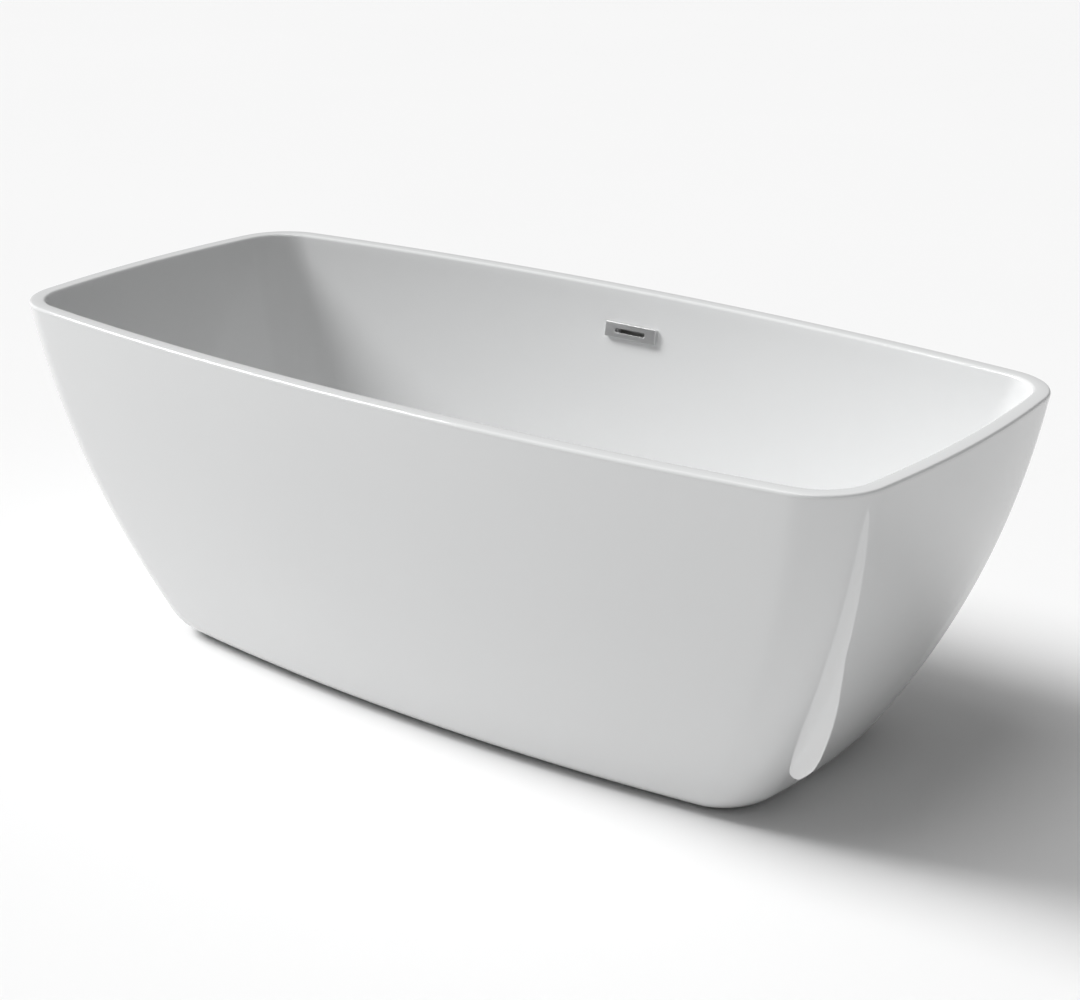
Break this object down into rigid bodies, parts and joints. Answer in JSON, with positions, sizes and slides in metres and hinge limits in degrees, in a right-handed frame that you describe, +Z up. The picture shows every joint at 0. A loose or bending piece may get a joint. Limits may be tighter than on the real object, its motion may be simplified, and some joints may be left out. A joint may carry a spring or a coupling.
{
  "type": "freestanding bathtub",
  "caption": "Freestanding double-skin bath with a thin flat rim, tapered outer skirt, slotted overflow, push plug and levelling feet.",
  "frame": {"origin": "on the floor, below the middle of the bath", "axes": "+X along the length, +Y towards the long side with the overflow, +Z up"},
  "size_m": [1.6986, 0.7888, 0.6],
  "materials": {
    "white_acrylic": "gloss white acrylic",
    "board_wood": "raw wood board",
    "zinc_steel": "zinc-plated steel",
    "chrome_trim": "polished chrome",
    "brushed_trim": "fine brushed steel",
    "black_plastic": "moulded matte black",
    "white_plastic": "moulded matte white",
    "grey_plastic": "ribbed grey hose",
    "black_rubber": "soft black rubber"
  },
  "bodies": {
    "root": {"basin": "white_acrylic", "outer_skirt": "white_acrylic", "base_board": "board_wood", "rail_front": "zinc_steel", "rail_back": "zinc_steel", "cross_members": "zinc_steel", "rail_end_caps": "black_plastic", "foot_brackets": "zinc_steel", "weld_nuts": "zinc_steel", "lock_nuts": "zinc_steel", "frame_screws": "zinc_steel", "skirt_brackets": "zinc_steel", "bracket_screws": "zinc_steel", "skirt_screws": "zinc_steel", "waste_flange": "chrome_trim", "waste_top_seal": "black_rubber", "waste_bottom_seal": "black_rubber", "waste_body": "white_plastic", "plug_cartridge": "black_plastic", "plug_spring": "zinc_steel", "trap_bowl": "white_plastic", "trap_nut": "white_plastic", "trap_seal": "black_rubber", "outlet_nut": "white_plastic", "outlet_seal": "black_rubber", "outlet_pipe": "white_plastic", "overflow_cover": "brushed_trim", "overflow_carrier": "black_plastic", "overflow_screws": "zinc_steel", "overflow_gasket": "black_rubber", "overflow_body": "white_plastic", "overflow_coupling": "black_rubber", "overflow_hose": "grey_plastic", "hose_clip": "zinc_steel"},
    "plug": {"plug_cap": "chrome_trim", "plug_seal": "black_rubber", "plug_stem": "zinc_steel"},
    "pad_front_left": {"foot_pad_front_left": "black_plastic"},
    "stud_front_left": {"foot_stud_front_left": "zinc_steel"},
    "pad_front_right": {"foot_pad_front_right": "black_plastic"},
    "stud_front_right": {"foot_stud_front_right": "zinc_steel"},
    "pad_back_left": {"foot_pad_back_left": "black_plastic"},
    "stud_back_left": {"foot_stud_back_left": "zinc_steel"},
    "pad_back_right": {"foot_pad_back_right": "black_plastic"},
    "stud_back_right": {"foot_stud_back_right": "zinc_steel"}
  },
  "joints": [
    {"name": "plug_push", "type": "slide", "parent": "root", "child": "plug", "axis": [0, 0, 1], "range_m": [0, 0.01], "deforming": ["plug_spring"]},
    {"name": "lift_front_left", "type": "slide", "parent": "root", "child": "pad_front_left", "axis": [0, 0, -1], "range_m": [0, 0.015]},
    {"name": "turn_front_left", "type": "hinge", "parent": "pad_front_left", "child": "stud_front_left", "pos_m": [-0.46, -0.128, 0.06], "axis": [0, 0, -1], "range_deg": [0, 3090]},
    {"name": "lift_front_right", "type": "slide", "parent": "root", "child": "pad_front_right", "axis": [0, 0, -1], "range_m": [0, 0.015]},
    {"name": "turn_front_right", "type": "hinge", "parent": "pad_front_right", "child": "stud_front_right", "pos_m": [0.46, -0.128, 0.06], "axis": [0, 0, -1], "range_deg": [0, 3090]},
    {"name": "lift_back_left", "type": "slide", "parent": "root", "child": "pad_back_left", "axis": [0, 0, -1], "range_m": [0, 0.015]},
    {"name": "turn_back_left", "type": "hinge", "parent": "pad_back_left", "child": "stud_back_left", "pos_m": [-0.46, 0.128, 0.06], "axis": [0, 0, -1], "range_deg": [0, 3090]},
    {"name": "lift_back_right", "type": "slide", "parent": "root", "child": "pad_back_right", "axis": [0, 0, -1], "range_m": [0, 0.015]},
    {"name": "turn_back_right", "type": "hinge", "parent": "pad_back_right", "child": "stud_back_right", "pos_m": [0.46, 0.128, 0.06], "axis": [0, 0, -1], "range_deg": [0, 3090]}
  ],
  "couplings": [
    {"joint": "turn_front_left", "follows": "lift_front_left", "rad_per_m": 3590.4},
    {"joint": "turn_front_right", "follows": "lift_front_right", "rad_per_m": 3590.4},
    {"joint": "turn_back_left", "follows": "lift_back_left", "rad_per_m": 3590.4},
    {"joint": "turn_back_right", "follows": "lift_back_right", "rad_per_m": 3590.4}
  ]
}
